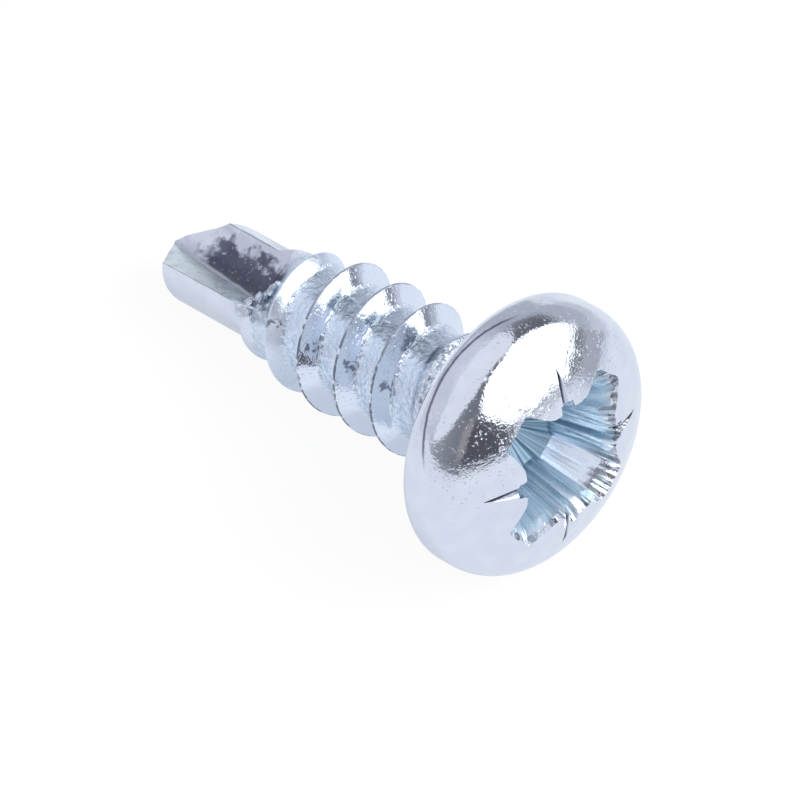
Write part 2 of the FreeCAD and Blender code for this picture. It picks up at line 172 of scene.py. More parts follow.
# Torn lumps where the near flute runs out into the thread: (place, size)
BURRS = (
    ((-0.43, -1.27, 8.42), 0.15), ((-0.3, -1.27, 8.2), 0.13), ((-0.5, -1.38, 7.95), 0.12),
    ((-0.1, -1.3, 8.02), 0.16), ((0.16, -1.28, 7.95), 0.17), ((0.36, -1.4, 7.75), 0.14),
    ((-0.62, -1.33, 8.2), 0.09), ((-0.47, -1.46, 8.3), 0.15), ((-0.7, -1.42, 8.22), 0.12),
    ((-0.43, -1.5, 7.85), 0.14), ((-0.2, -1.5, 8.05), 0.15), ((0.08, -1.52, 7.78), 0.13),
    ((-0.85, -1.3, 8.05), 0.09),
)
BURR_SHAPE = (1, 0.65, 0.8)
BURR_ROUGHNESS = 0.35
BURR_GRAIN = 1.6
BURR_SPREAD = 7
BURR_LEAN = 0.9

# Mouth of the recess: (depth below the crown, share of the flare), and how its torn side, which
# starts at an angle in radians, breaks and curls
MOUTH_LEVELS = ((-0.5, 2.0), (-0.12, 1.5), (0.0, 1.0), (0.08, 0.75), (0.2, 0.4), (0.34, 0.1), (0.46, 0.0))
SMOOTH_FLARE = 0.05
TORN_FLARE = 0.5
TORN_SIDE = -0.2
TORN_MIDDLE = 0.6
TORN_SWING = 0.9
SHARD_RATE = 5
SHARD_SHARE = 0.6
SPLINTER_RATE = 12
SPLINTER_SHARE = 0.4
CURL = 0.13
CURL_END = 0.45
CURL_RATE = 13
CURL_DEPTH_RATE = 22

# Walls and floor of the recess, and the lines and waves that the punch leaves down its walls
WALL_DEPTHS = (1.2, 1.4, 1.6, 1.8, 2.0, 2.15, RECESS_DEPTH)
FLOOR_SHARES = (0.97, 0.9, 0.7, 0.45, 0.2, 0.04)
FINE_LINE_RATE = 22
FINE_LINE_DEPTH = 0.007
BROAD_LINE_RATE = 9
BROAD_LINE_DEPTH = 0.016
WAVE_RATE = 6
WAVE_DEPTH = 0.02
WAVE_TWIST = 1.5
WING_END_FACING = 0.75

# Offset between the places where two noises are read
SHIFT = Vector((31.7, -12.4, 57.1))

# Edges sharper than this angle stay sharp in the shading
SHARP_ANGLE = 28

# Zones of the surface, kept with each face for the plating to read
PLAIN, RECESS, WING_END, FLUTE, LIP, TICK, TIP = range(7)
ZONE_REACH = 0.3

# Colours of the plating, and of the shade painted into the recess and the flute
ZINC_DULL = (0.74, 0.775, 0.85, 1)
ZINC_BRIGHT = (0.79, 0.815, 0.87, 1)
WALL_SHADE_TEAL = (0.55, 0.69, 0.79, 1)
WALL_PALE = (0.88, 0.94, 0.98, 1)
SUNK_SHADE_TEAL = (0.24, 0.37, 0.48, 1)
SUNK_SHADE_PALE = (0.46, 0.6, 0.71, 1)
FLUTE_PALE = (0.7, 0.72, 0.79, 1)
FLUTE_SHADE_DARK = (0.13, 0.135, 0.18, 1)
RAKE_SHADE = (0.5, 0.56, 0.58, 1)
RAKE_PALE = (0.74, 0.8, 0.81, 1)
SEAM_BLACK = (0.13, 0.14, 0.17, 1)
FLANK_REFLECTION_BLUE = (0.76, 0.85, 0.96, 1)

# Tints of the plating, and of the light, shade and reflections painted on it: colour, and how strongly it
# covers
THREAD_TINT = ((0.78, 0.84, 0.95, 1), 0.8)
FILLET_SHADE_TINT = ((0.6, 0.68, 0.71, 1), 0.8)
WING_END_LIGHT_TINT = ((0.82, 0.87, 0.95, 1), 1.0)
LIP_DARK_TINT = ((0.25, 0.28, 0.33, 1), 0.6)
TICK_CREASE_SHADE = ((0.15, 0.16, 0.19, 1), 1.0)
LAND_EDGE_REFLECTION_TINT = ((0.2, 0.21, 0.24, 1), 0.65)
MOTTLE_TINT = ((0.5, 0.55, 0.57, 1), 0.5)
DENT_SHADE_TINT = ((0.36, 0.38, 0.43, 1), 0.6)
ROOT_REFLECTION_TINT = ((0.2, 0.25, 0.31, 1), 0.85)
FLECK_REFLECTION_TINT = ((0.16, 0.18, 0.23, 1), 0.85)
RIM_REFLECTION_TINT = ((0.12, 0.12, 0.17, 1), 0.85)

# How strongly other patterns cover (specks in the flute, the crest's seam and its paler side, the painted
# blue reflection on folds and on the first turn), and how much less metallic the low side of the first turn
# is
SPECK_COVER = 0.7
SEAM_COVER = 0.85
SEAM_FADING = 0.4
FLANK_REFLECTION_COVER = 0.8
FIRST_TURN_COVER = 0.4
FIRST_TURN_DULLING = 0.45

# Patterns along the screw in millimetres: where each starts, is full, starts to fade and is gone
THREAD_STRETCH = (0.35, 0.6, 7.9, 8.3)
FILLET_STRETCH = (-0.02, 0.02, 0.35, 0.45)
NECK_STRETCH = (0.42, 0.6, 1.4, 2.4)
FLANK_STRETCH = (0.4, 0.8, 8.6, 8.9)
ROOT_STRETCH = (1.6, 2.2, 7.9, 8.3)
FIRST_TURN_STRETCH = (6.4, 6.8, 8.6, 8.9)
BURRED_STRETCH = (7.2, 7.5, 8.4, 8.7)
SEAM_STRETCH = (0.2, 0.4, 8.9, 9.0)
ROOT_REFLECTION_STRETCH = (1.6, 2.0, 6.4, 6.8)
FLECK_STRETCH = (1.6, 2.0, 7.4, 7.8)

# Patterns out from the axis in millimetres, in the same way
FLANK_REACH = (1.56, 1.66, 2.04, 2.1)
FLECK_REACH = (1.56, 1.66, 1.9, 1.96)

# Patterns round the axis in degrees: middle, half width, and the distance where each is gone
BURRED_SIDE = (-102, 16, 26)
ROOT_REFLECTION_SIDE = (-64, 8, 12)
FLECK_SIDE = (-110, 3, 6)
RIM_SIDE = (-84, 28, 40)

# Edges of patterns, where they start to change and where the change is full
CLOUD_EDGE = (0.35, 0.7)
THREAD_RIM = (2.15, 2.3)
NECK_RIM = (2.2, 2.4)
ROOT_RIM = (1.57, 1.66)
SCORE_EDGE = (0.38, 0.64)
SUNK_EDGE = (RECESS_FLOOR - 0.25, RECESS_FLOOR + 0.02)
LIP_DARK_EDGE = (0.52, 0.58)
TICK_CREASE = (0.03, 0.07)
RAKE_EDGE = (0.0, 0.03)
SHADE_FOOT = (0.0, 0.05)
SHADE_HEEL = (0.42, 0.78)
SHADE_TIP = (10.8, 11.4)
SPECK_EDGE = (0.6, 0.72)
RAKE_PALES = (8.8, 11.6)
LAND_EDGE = (0.015, 0.055)
LAND_EDGE_START = (8.9, 9.3)
MOTTLE_EDGE = (0.44, 0.6)
SEAM_EDGE = (THREAD_RADIUS - 0.034, THREAD_RADIUS - 0.018)
SEAM_BREAKS = (0.38, 0.5)
SEAM_FADE = (-100, -60)
POINT_SIDE = (0.0, 0.3)
LOW_SIDE = (-112, -94)
CREASE_EDGE = (0.42, 0.6)
PIT_EDGE = (0.61, 0.77)
ROOT_REFLECTION_FOOT = (1.5, 1.56)
ROOT_REFLECTION_TOP = (1.75, 1.9)
FLECK_EDGE = (0.46, 0.56)

# Painted dark reflection line round the rim, in millimetres and degrees: an arc that bends towards the crown
# to both sides
RIM_LINE_TURN = -82
RIM_LINE_SPREAD = 30
RIM_LINE_RISE = 0.3
RIM_LINE_HEIGHT = -0.42
RIM_LINE_REACH = (3.8, 3.85)
RIM_LINE_WIDTH = (0.02, 0.06)

# Relief of the plating, in shares of the bump's distance, which is in metres
FINE_RELIEF = 0.4
BROAD_RELIEF = 0.9
PIT_RELIEF = 0.7
FOLD_RELIEF = 5.0
LIP_RELIEF = 0.5
SCORE_RELIEF = 0.6
BUMP_STRENGTH = 0.3
BUMP_DISTANCE = 0.00003

# Roughness of the plating: what each mark adds to that of the polished head
POLISH = 0.05
FINE_HAZE = 0.07
RECESS_HAZE = 0.2
WING_END_HAZE = 0.12
FLUTE_HAZE = 0.16
SEAM_HAZE = 0.3
WORN_HAZE = 0.08
FOLD_HAZE = 0.12
FIRST_TURN_HAZE = 0.2
SUNK_HAZE = 0.25

# White, as the camera sees the ground and the room
WHITE = (1, 1, 1, 1)

# Floor: half its size in metres, its colours, and the sectors that the metal sees darker
FLOOR_HALF = 3.0
FLOOR_COLOUR = (0.86, 0.88, 0.92, 1)
FLOOR_IN_METAL = (0.74, 0.78, 0.85, 1)
SIDE_GREY = (0.44, 0.46, 0.52, 1)
SIDE_SECTOR = (-102, 32, 50)
SIDE_START = (0.022, 0.034)
CORNER_DARK = (0.17, 0.18, 0.22, 1)
CORNER_SECTOR = (-129, 8, 12)
CORNER_START = (0.028, 0.036)
GLOW_TO_CAMERA = 0.93
GLOW_TO_METAL = 0.75

# Window of the room: its middle, its radius and its straight edges, in degrees
WINDOW_LIGHT = (2.0, 2.05, 2.1, 1)
WINDOW_TURN = -145.6
WINDOW_LIFT = 37
WINDOW_EDGE = (37, 39)
WINDOW_TOP = (70, 72)
WINDOW_SILL = (2, 5)
WINDOW_CORNER_TURN = 28
WINDOW_CORNER_SLOPE = 0.35
WINDOW_CORNER_EDGE = (3, 6)

# Dark surroundings, at turns from the middle of them: lift of their upper and lower edge, and tone
SURROUND_TURN = -165
SURROUND = (
    (-180, 40, 8, 0.7), (-150, 34, 8, 0.7), (-135, 14, 7, 0.5), (-120, 22, 9, 0.36), (-98, 38, 10, 0.3),
    (-75, 57, 8, 0.25), (-45, 74, 2, 0.2), (-20, 79, -4, 0.19), (-8, 81, 8, 0.18), (15, 81, 4, 0.17),
    (45, 74, -12, 0.17), (75, 65, -8, 0.15), (105, 56, -4, 0.18), (120, 45, -2, 0.27), (131, 36, 0, 0.5),
    (150, 41, 4, 0.7), (180, 40, 8, 0.7),
)
SURROUND_EDGE = (-2, 2)
SURROUND_CAST = (0.96, 1, 1.14)

# Colours of the room beside and within the dark surroundings, and where they are
ROOM_PALE = (0.85, 0.885, 0.965, 1)
ROOM_GREY = (0.49, 0.52, 0.59, 1)
GREY_TURN = (30, 60)
GREY_LIFT = (20, 32)
ROOM_DEEP = (0.1, 0.1, 0.12, 1)
DEEP_TURN = (-30, 6, 26)
DEEP_LIFT = (18, 34)
ROOM_BROWN = (0.36, 0.33, 0.34, 1)
BROWN_TURN = (-48, 6, 14)
BROWN_LIFT = (24, 8, 16)

# Lamp, in metres and watts
LAMP_PLACE = (-0.28, -0.13, 0.35)
LAMP_WIDTH = 0.3
LAMP_DEPTH = 0.2
LAMP_POWER = 1.6

# Camera, in millimetres and degrees, with the lens in pixels of the photo and the clipping in metres
PHOTO_WIDTH = 800
FOCAL_PIXELS = 9677.12
SENSOR_WIDTH = 36
CAMERA_PLACE = (-109.2487, 109.519, 212.767)
CAMERA_TURN = -135.2758
CAMERA_DIP = 53.9104
CAMERA_ROLL = -1.6985
CLIP_START = 0.01
CLIP_END = 10


# Meshes
def arc(across, along, radius, start, finish, steps):
    """Points of an arc, with angles in degrees from the outward direction towards the point."""
    turns = [math.radians(start + (finish - start) * step / steps) for step in range(steps + 1)]
    return [(across + radius * math.cos(turn), along + radius * math.sin(turn)) for turn in turns]


def new_piece(name, bm, zone=None):
    """Makes an object of a bmesh, and keeps the zone of each face."""
    bm.normal_update()
    layer = bm.faces.layers.float.new("zone")
    for face in bm.faces:
        face[layer] = zone(face) if zone else PLAIN
    mesh = bpy.data.meshes.new(name)
    bm.to_mesh(mesh)
    bm.free()
    piece = bpy.data.objects.new(name, mesh)
    bpy.context.scene.collection.objects.link(piece)
    return piece


def close_and_turn_out(bm):
    bmesh.ops.remove_doubles(bm, verts=bm.verts, dist=MERGE_DISTANCE)
    bmesh.ops.holes_fill(bm, edges=bm.edges, sides=0)
    bmesh.ops.recalc_face_normals(bm, faces=bm.faces)


def wire(bm, points, closed=False):
    """Joined vertices through the points, and their edges."""
    verts = [bm.verts.new(point) for point in points]
    pairs = list(zip(verts, verts[1:]))
    if closed:
        pairs.append((verts[-1], verts[0]))
    return verts, [bm.edges.new(pair) for pair in pairs]


def turned(name, outline):
    """A solid turned from an outline of (radius, height) points."""
    bm = bmesh.new()
    verts, edges = wire(bm, [(radius, 0, height) for radius, height in outline])
    bmesh.ops.spin(bm, geom=verts + edges, cent=(0, 0, 0), axis=(0, 0, 1), dvec=(0, 0, 0),
                   angle=2 * math.pi, steps=HEAD_STEPS, use_merge=True, use_duplicate=False)
    close_and_turn_out(bm)
    return new_piece(name, bm)


def lofted(name, sections, zone=None):
    """A solid whose skin joins closed sections of points, one after the other."""
    bm = bmesh.new()
    rings = [wire(bm, section, closed=True)[1] for section in sections]
    for ring, following in zip(rings, rings[1:]):
        bmesh.ops.bridge_loops(bm, edges=ring + following)
    bmesh.ops.contextual_create(bm, geom=rings[0])
    bmesh.ops.contextual_create(bm, geom=rings[-1])
    bmesh.ops.recalc_face_normals(bm, faces=bm.faces)
    return new_piece(name, bm, zone)


def levels(first, last, steps, rough, cell):
    """Sections from first to last, with their points pushed about by a rough, even noise."""
    sections = []
    for step in range(steps + 1):
        share = step / steps
        push = rough if 0 < step < steps else 0.0
        section = []
        for start, end in zip(first, last):
            point = Vector(start).lerp(Vector(end), share)
            bump = Vector((noise.noise(point / cell), noise.noise(point / cell + SHIFT), 0))
            section.append(point + push * bump)
        sections.append(section)
    return sections


def turn_copy(piece, degrees):
    copy = bpy.data.objects.new(piece.name, piece.data.copy())
    bpy.context.scene.collection.objects.link(copy)
    copy.data.transform(Matrix.Rotation(math.radians(degrees), 4, "Z"))
    return copy


def combine(base, tool, operation):
    """Joins the tool to the base or cuts it from the base, and uses the tool up."""
    modifier = base.modifiers.new(operation, "BOOLEAN")
    modifier.operation = operation
    modifier.solver = "EXACT"
    modifier.object = tool
    graph = bpy.context.evaluated_depsgraph_get()
    result = bpy.data.meshes.new_from_object(base.evaluated_get(graph))
    base.modifiers.clear()
    base.data = result
    bpy.data.objects.remove(tool)
    return base


# Head
def turn_head():
    outline = arc(0, CROWN_CENTRE, CROWN_RADIUS, -90, -90 + CROWN_EDGE_ANGLE, CROWN_STEPS)
    outline += arc(SHOULDER_CENTRE, -RIM_HEIGHT, SHOULDER_RADIUS, -90 + CROWN_EDGE_ANGLE, 0,
                   SHOULDER_STEPS)[1:]
    outline += arc(HEAD_RADIUS - UNDER_RADIUS, -UNDER_RADIUS, UNDER_RADIUS, 0, 90, UNDER_STEPS)
    outline += [(BEARING_RING, 0), (0, 0)]
    return turned("head", outline)


# Thread and core
def thread_half_profile():
    """(offset along the screw, radius) from the middle of the crest to the middle of the root."""
    height = THREAD_RADIUS - CORE_RADIUS
    lean = math.radians(FLANK_ANGLE)
    foot = CREST_HALF + height * math.tan(lean)
    trim = ROOT_FILLET * math.tan((math.pi / 2 - lean) / 2)
    fillet = arc(foot + trim, CORE_RADIUS + ROOT_FILLET, ROOT_FILLET, 180 + FLANK_ANGLE, 270, FILLET_STEPS)
    crest = [(across * CREST_HALF, THREAD_RADIUS - drop * CREST_HALF) for across, drop in CREST_ROUNDING]
    flank = [tuple(a + (b - a) * share for a, b in zip(crest[-1], fillet[0])) for share in FLANK_SHARES]
    return crest + flank + fillet + [(PITCH / 2, CORE_RADIUS)]


def thread_share(height):
    """Share of the thread's full height, which runs out below the head and on the drill's shoulder."""
    run_out = (height - THREAD_START) / THREAD_RUN_OUT
    run_in = (THREAD_END - height) / THREAD_RUN_IN
    return max(0.0, min(1.0, run_out, run_in))


def core_radius(height):
    """Radius of the core, with a fillet at the head and a taper into the drill point."""
    if height < 0:
        return CORE_RADIUS + NECK_RADIUS
    if height < NECK_RADIUS:
        return CORE_RADIUS + NECK_RADIUS - math.sqrt(NECK_RADIUS ** 2 - (NECK_RADIUS - height) ** 2)
    if height < CORE_LENGTH:
        return CORE_RADIUS
    fall = (height - CORE_LENGTH) / (CORE_END - CORE_LENGTH)
    return CORE_RADIUS + (CORE_END_RADIUS - CORE_RADIUS) * fall


def roll_shank():
    """Winds the thread's profile up a helix, then fits each point to the core and the run-outs."""
    half = thread_half_profile()
    profile = [(-offset, radius) for offset, radius in reversed(half)] + half[1:]
    turns = math.ceil(CORE_END / PITCH) + SPARE_TURNS + 1
    first = -SPARE_TURNS * PITCH
    bm = bmesh.new()
    verts, edges = wire(bm, [(radius, 0, first + offset) for offset, radius in profile])
    bmesh.ops.spin(bm, geom=verts + edges, cent=(0, 0, 0), axis=(0, 0, 1), dvec=(0, 0, PITCH / THREAD_STEPS),
                   angle=2 * math.pi * turns, steps=turns * THREAD_STEPS, use_merge=False,
                   use_duplicate=False)
    for vert in bm.verts:
        height = min(max(vert.co.z, SHANK_LOWEST), SHANK_HIGHEST)
        ridge = (math.hypot(vert.co.x, vert.co.y) - CORE_RADIUS) * thread_share(height)
        radius = core_radius(height) + ridge
        scale = radius / math.hypot(vert.co.x, vert.co.y)
        vert.co = Vector((vert.co.x * scale, vert.co.y * scale, height))
    bmesh.ops.rotate(bm, verts=bm.verts, cent=(0, 0, 0),
                     matrix=Matrix.Rotation(math.radians(THREAD_TURN), 3, "Z"))
    close_and_turn_out(bm)
    return new_piece("shank", bm)


# Drill point
def land_section(height, scale):
    """Section of the drill point before it is cut: two arcs that meet in two edges."""
    reach = math.degrees(math.asin(LAND_CENTRE / LAND_RADIUS))
    upper = arc(0, -LAND_CENTRE * scale, LAND_RADIUS * scale, reach, 180 - reach, LAND_STEPS)
    lower = arc(0, LAND_CENTRE * scale, LAND_RADIUS * scale, 180 + reach, 360 - reach, LAND_STEPS)
    turn = Matrix.Rotation(math.radians(LIP_TURN), 3, "Z")
    return [turn @ Vector((x, y, height)) for x, y in upper[:-1] + lower[:-1]]


def forge_drill():
    stock = lofted("drill", [
        land_section(DRILL_START, DRILL_SHOULDER_SCALE),
        land_section(DRILL_SHOULDER, 1),
        land_section(DRILL_END, 1),
    ])
    combine(stock, near_relief(), "DIFFERENCE")
    return combine(stock, far_relief(), "DIFFERENCE")


def relief_cutter(name, side, outline):
    """Sweeps an outline, given for the lip of side 1, along the lip's slope."""
    sections = []
    for reach in (-CLEAR_REACH, CLEAR_REACH):
        drop = reach * POINT_SLOPE
        sections.append([(side * reach, side * across, along - drop) for across, along in outline])
    return lofted(name, sections, lambda face: TIP)


def near_relief():
    """The rounded relief behind the near lip."""
    centre = SCREW_LENGTH - RELIEF_RADIUS
    top = SCREW_LENGTH + CLEAR_REACH
    left = WEB_HALF - RELIEF_RADIUS - CLEAR_REACH
    right = WEB_HALF + RELIEF_RADIUS + CLEAR_REACH
    outline = arc(WEB_HALF, centre, RELIEF_RADIUS, 180, 0, RELIEF_STEPS)
    outline += [(right, centre), (right, top), (left, top), (left, centre)]
    return relief_cutter("near_relief", -1, outline)


def far_relief():
    """The steeper, flat relief behind the far lip."""
    top = SCREW_LENGTH + CLEAR_REACH
    fall = CLEAR_REACH * math.tan(math.radians(FAR_RELIEF_ANGLE))
    left = WEB_HALF - CLEAR_REACH
    right = WEB_HALF + CLEAR_REACH
    outline = [(WEB_HALF, SCREW_LENGTH), (right, SCREW_LENGTH), (right, top), (left, top),
               (left, SCREW_LENGTH - fall)]
    return relief_cutter("far_relief", 1, outline)


# Flutes
def flute_section(height, corner_x, floor_x, floor_y, hollow):
    """Flat rake face, rounded corner and a hollow floor that rises to the heel."""
    run = floor_x - corner_x
    rise = floor_y - WEB_HALF
    length = math.hypot(run, rise)
    trim = FLUTE_CORNER_RADIUS * (length + run) / rise
    lean = math.degrees(math.atan2(run, rise))
    rounding = arc(corner_x + trim, WEB_HALF + FLUTE_CORNER_RADIUS, FLUTE_CORNER_RADIUS, -90, -180 - lean,
                   CORNER_STEPS)
    rake = [(CLEAR_REACH + (rounding[0][0] - CLEAR_REACH) * share, WEB_HALF) for share in RAKE_SHARES]
    start_x, start_y = rounding[-1]
    middle_x, middle_y = (corner_x + floor_x) / 2, (WEB_HALF + floor_y) / 2
    floor = []
    for step in range(1, FLOOR_STEPS + 1):
        share = step / FLOOR_STEPS
        sink = hollow * 4 * share * (1 - share)
        floor.append((start_x + (middle_x - start_x) * share - sink * rise / length,
                      start_y + (middle_y - start_y) * share + sink * run / length))
    outline = rake + rounding + floor + [(floor_x, floor_y), (CLEAR_REACH, floor_y)]
    return [(x, y, height) for x, y in outline]


def flute_at(height):
    """Section of the flute at a height: it is hollow behind, and fuller at the tip."""
    past_heel = 2 * HEEL_Y - WEB_HALF
    share = (height - FLUTE_FLOOR_START) / (DRILL_END - FLUTE_FLOOR_START)
    corner = FLUTE_CORNER_AT_START + (FLUTE_CORNER_AT_TIP - FLUTE_CORNER_AT_START) * share
    fullness = min(1.0, max(0.0, (height - TIP_FILL_START) / TIP_FILL_LENGTH))
    hollow = FLUTE_HOLLOW + (TIP_HOLLOW - FLUTE_HOLLOW) * fullness
    return flute_section(height, corner, 2 * HEEL_X - corner, past_heel, hollow)


def flute_cutter():
    corner_x = CORE_RADIUS + FLUTE_CORNER_AT_TIP
    floor_x = 2 * HEEL_X - FLUTE_CORNER_AT_START
    run_out = flute_section(FLUTE_RUN_OUT_START, corner_x, floor_x, 2 * CORE_RADIUS, 0)
    first = flute_at(FLUTE_STOPS[0])
    sections = levels(run_out, first, RUN_OUT_STEPS, RUN_OUT_ROUGHNESS, RUN_OUT_GRAIN)[:-1]
    for low, high in zip(FLUTE_STOPS, FLUTE_STOPS[1:]):
        sections += levels(flute_at(low), flute_at(high), FLUTE_STEPS, FLUTE_ROUGHNESS, FLUTE_GRAIN)[:-1]
    sections.append(flute_at(FLUTE_STOPS[-1]))
    return lofted("flute", sections, lambda face: FLUTE)


def burr(place, size, lean):
    """A small torn lump of metal, longer one way than the others."""
    bm = bmesh.new()
    bmesh.ops.create_icosphere(bm, subdivisions=3, radius=1)
    for vert in bm.verts:
        vert.co *= 1 + BURR_ROUGHNESS * noise.noise(vert.co * BURR_GRAIN + BURR_SPREAD * Vector(place))
    bmesh.ops.scale(bm, verts=bm.verts, vec=[share * size for share in BURR_SHAPE])
    bmesh.ops.rotate(bm, verts=bm.verts, cent=(0, 0, 0), matrix=Matrix.Rotation(lean, 3, "Z"))
    bmesh.ops.rotate(bm, verts=bm.verts, cent=(0, 0, 0), matrix=Matrix.Rotation(2 * lean, 3, "X"))
    bmesh.ops.translate(bm, verts=bm.verts, vec=place)
    return new_piece("burr", bm)


# Recess
def turn_from_bar(angle):
    """Turn in radians between an angle and the nearest bar of the cross."""
    return abs((angle + math.pi / 4) % (math.pi / 2) - math.pi / 4)


def bar_reach(angle, reach, half, splay):
    """How far a cross of bars that widen inwards reaches, at an angle in radians from a bar."""
    turn = turn_from_bar(angle)
    side = (half + splay * reach) / (math.sin(turn) + splay * math.cos(turn) + TINY)
    return min(reach / math.cos(turn), side)


def recess_reach(angle, depth):
    """Reach of the recess at an angle and a depth below the crown's top, blended at its corners."""
    bore = BORE_RADIUS - depth * math.tan(math.radians(BORE_SLOPE))
    wing = WING_CROWN_REACH - depth * math.tan(math.radians(WING_SLOPE))
    half = WING_HALF_WIDTH + (WING_FLOOR_HALF_WIDTH - WING_HALF_WIDTH) * depth / RECESS_DEPTH
    rib = RIB_REACH - depth * math.tan(math.radians(RIB_SLOPE))
    wings = bar_reach(angle, wing, half, WING_SPLAY)
    ribs = bar_reach(angle + math.pi / 4, rib, RIB_HALF_WIDTH, 0)
    return sum(reach ** CORNER_BLEND for reach in (bore, wings, ribs)) ** (1 / CORNER_BLEND)


def crown_drop(radius):
    return CROWN_RADIUS - math.sqrt(CROWN_RADIUS ** 2 - radius ** 2)


def rim_drop(angle):
    """How far the crown has dropped where the recess meets it."""
    return crown_drop(recess_reach(angle, RIM_DEPTH))


def recess_point(angle, depth, flare=0.0):
    """A point on the recess, scored by the punch in lines that run down its walls."""
    along = Vector((math.cos(angle), math.sin(angle), 0))
    fine = noise.noise(along * FINE_LINE_RATE) * FINE_LINE_DEPTH
    broad = noise.noise(along * BROAD_LINE_RATE + SHIFT) * BROAD_LINE_DEPTH
    wave = noise.noise(along * WAVE_RATE + Vector((0, 0, WAVE_TWIST * depth))) * WAVE_DEPTH
    radius = recess_reach(angle, depth) + (fine + broad) + wave + flare
    return along * radius + Vector((0, 0, depth - HEAD_HEIGHT))


def mouth_flare(angle):
    """How wide the lip breaks out: rolled smooth on one side and torn on the other."""
    along = Vector((math.cos(angle), math.sin(angle), 0))
    torn = min(1.0, max(0.0, TORN_MIDDLE + TORN_SWING * math.sin(angle - TORN_SIDE)))
    shard = SHARD_SHARE * abs(noise.cell(along * SHARD_RATE))
    splinter = SPLINTER_SHARE * abs(noise.noise(along * SPLINTER_RATE))
    return SMOOTH_FLARE + TORN_FLARE * torn * (shard + splinter)


def mouth_section(angles, below, share):
    """A ring of the mouth some way below the crown, with curled metal where it is torn."""
    section = []
    for angle in angles:
        place = Vector((CURL_RATE * math.cos(angle), CURL_RATE * math.sin(angle), CURL_DEPTH_RATE * below))
        dip = CURL * noise.noise(place) * (0 < below < CURL_END)
        section.append(recess_point(angle, rim_drop(angle) + below + dip, share * mouth_flare(angle)))
    return section


def recess_zone(face):
    """Tells the torn lip, the ends of the wings and the walls apart."""
    middle = face.calc_center_median()
    angle = math.atan2(middle.y, middle.x)
    if middle.z < rim_drop(angle) + LIP_DEPTH - HEAD_HEIGHT:
        return LIP
    outwards = Vector((middle.x, middle.y, 0)).normalized()
    near_bar = turn_from_bar(angle) < math.radians(WING_END_SPREAD)
    across_bar = face.normal.dot(outwards) > WING_END_FACING
    return WING_END if near_bar and across_bar else RECESS


def recess_cutter():
    angles = [2 * math.pi * step / RECESS_STEPS for step in range(RECESS_STEPS)]
    sections = [mouth_section(angles, below, share) for below, share in MOUTH_LEVELS]
    sections += [[recess_point(angle, depth) for angle in angles] for depth in WALL_DEPTHS]
    foot = sections[-1]
    for share in FLOOR_SHARES:
        height = RECESS_FLOOR + FLOOR_PIT * (1 - share)
        sections.append([Vector((point.x * share, point.y * share, height)) for point in foot])
    return lofted("recess", sections, recess_zone)


def tick_cutter():
    """A wedge that leaves a tick mark on the crown, and runs out at its outer end."""
    top = -HEAD_HEIGHT - TICK_DEPTH
    lean = math.tan(math.radians(TICK_HALF_ANGLE))
    sections = []
    for radius, depth in ((TICK_INNER_RADIUS, TICK_DEPTH), (TICK_OUTER_RADIUS, 0)):
        bottom = crown_drop(radius) - HEAD_HEIGHT + depth
        half = (bottom - top) * lean
        sections.append([(radius, 0, bottom), (radius, half, top), (radius, -half, top)])
    return lofted("tick", sections, lambda face: TICK)


# The screw's own frame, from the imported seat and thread
def screw_frame():
    mounts = {mount["name"]: mount for mount in frame["record"]["mounts"]}
    seat = Vector(mounts["bearing_face"]["pos_m"])
    thread = mounts["tapping_thread"]
    axis = Vector(thread["axis"]).normalized()
    middle = Vector(thread["pos_m"])
    origin = middle - (middle - seat).dot(axis) * axis
    down = (Vector((0, 0, -1)) + axis.z * axis).normalized()
    across = Matrix.Rotation(math.radians(-REST_TURN), 3, axis) @ down
    turn = Matrix((across, axis.cross(across), axis)).transposed()
    return Matrix.Translation(origin) @ turn.to_4x4()


# Shader maths
class Value:
    """A shader socket that builds Math nodes from Python expressions."""

    def __init__(self, shader, socket):
        self.shader = shader
        self.socket = socket

    def maths(self, operation, *others):
        return self.shader.node("ShaderNodeMath", {"operation": operation}, (self, *others))

    def __add__(self, other):
        return self.maths("ADD", other)

    def __sub__(self, other):
        return self.maths("SUBTRACT", other)

    def __rsub__(self, other):
        return self.shader.node("ShaderNodeMath", {"operation": "SUBTRACT"}, (other, self))

    def __mul__(self, other):
        return self.maths("MULTIPLY", other)

    def __truediv__(self, other):
        return self.maths("DIVIDE", other)

    def __abs__(self):
        return self.maths("ABSOLUTE")

    __radd__ = __add__
    __rmul__ = __mul__


class Shader:
    """The nodes of a material or of the world."""

    def __init__(self, holder):
        holder.use_nodes = True
        self.tree = holder.node_tree
        self.tree.nodes.clear()

    def node(self, kind, settings, inputs, output=0):
        """Adds one node: its settings first, then the values or links of its sockets."""
        made = self.tree.nodes.new(kind)
        for name, setting in settings.items():
            if name == "stops":
                set_stops(made.color_ramp.elements, setting)
            else:
                setattr(made, name, setting)
        pairs = inputs.items() if isinstance(inputs, dict) else enumerate(inputs)
        for key, value in pairs:
            if isinstance(value, Value):
                self.tree.links.new(value.socket, made.inputs[key])
            else:
                made.inputs[key].default_value = value
        return Value(self, made.outputs[output])

    def finish(self, kind, surface):
        """Ends the tree with an output that shows the surface."""
        output = self.tree.nodes.new(kind)
        self.tree.links.new(surface.socket, output.inputs["Surface"])


def set_stops(elements, stops):
    """Sets the (place, colour) stops of a ramp, which starts with two."""
    for place, colour in stops[2:]:
        elements.new(place)
    for element, (place, colour) in zip(elements, stops):
        element.position = place
        element.color = colour


def step_up(value, low, high):
    """Rises smoothly from 0 at low to 1 at high."""
    return value.shader.node("ShaderNodeMapRange", {"interpolation_type": "SMOOTHSTEP"}, {
        "Value": value, "From Min": low, "From Max": high, "To Min": 0.0, "To Max": 1.0})


def step_down(value, low, high):
    return 1 - step_up(value, low, high)


